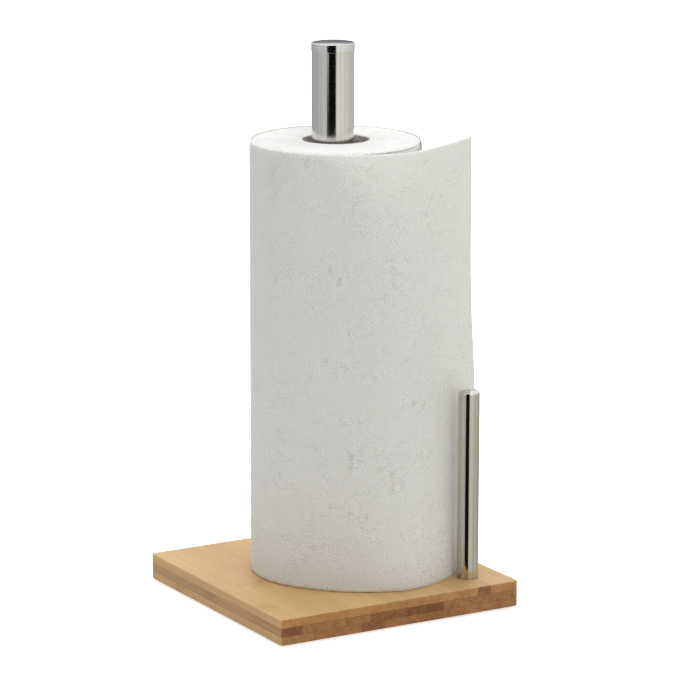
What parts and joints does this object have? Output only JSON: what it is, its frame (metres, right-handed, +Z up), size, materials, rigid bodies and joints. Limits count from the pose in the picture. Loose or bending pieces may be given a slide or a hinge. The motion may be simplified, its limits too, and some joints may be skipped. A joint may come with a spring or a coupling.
{
  "type": "paper towel holder",
  "caption": "Free-standing paper towel holder: square bamboo base, tall brushed-steel roll post, short tear post, and a paper roll that spins and lifts off.",
  "frame": {"origin": "on the table, at the middle of the square base and of the tall roll post", "axes": "+Z up along the roll post; +X from the roll post towards the side where the short tear post stands; -Y the front, where the tear post stands too"},
  "size_m": [0.165, 0.165, 0.3416],
  "materials": {
    "bamboo": "satin",
    "bamboo_core": "satin",
    "brushed_tube": "satin",
    "brushed_cap": "satin",
    "plated_steel": "satin",
    "foot_rubber": "matte",
    "cardboard_core": "matte",
    "wound_paper": "matte",
    "embossed_paper": "matte"
  },
  "bodies": {
    "stand": {"base_bottom_ply": "bamboo", "base_core_ply": "bamboo_core", "base_top_ply": "bamboo", "foot_pad_back_left": "foot_rubber", "foot_pad_back_right": "foot_rubber", "foot_pad_front_left": "foot_rubber", "foot_pad_front_right": "foot_rubber", "roll_post_cap": "brushed_cap", "roll_post_plug": "plated_steel", "roll_post_screw": "plated_steel", "roll_post_tube": "brushed_tube", "roll_post_washer": "plated_steel", "tear_post_cap": "brushed_cap", "tear_post_plug": "plated_steel", "tear_post_screw": "plated_steel", "tear_post_tube": "brushed_tube", "tear_post_washer": "plated_steel"},
    "paper_tail": {"loose_sheet": "embossed_paper"},
    "roll": {"roll_core": "cardboard_core", "wound_paper": "wound_paper"}
  },
  "joints": [
    {"name": "roll_lift", "type": "slide", "parent": "stand", "child": "paper_tail", "axis": [0, 0, 1], "range_m": [0, 0.33]},
    {"name": "roll_spin", "type": "hinge", "parent": "paper_tail", "child": "roll", "pos_m": [0.0013, -0.0011, 0.15], "axis": [0, 0, 1], "continuous": true}
  ]
}
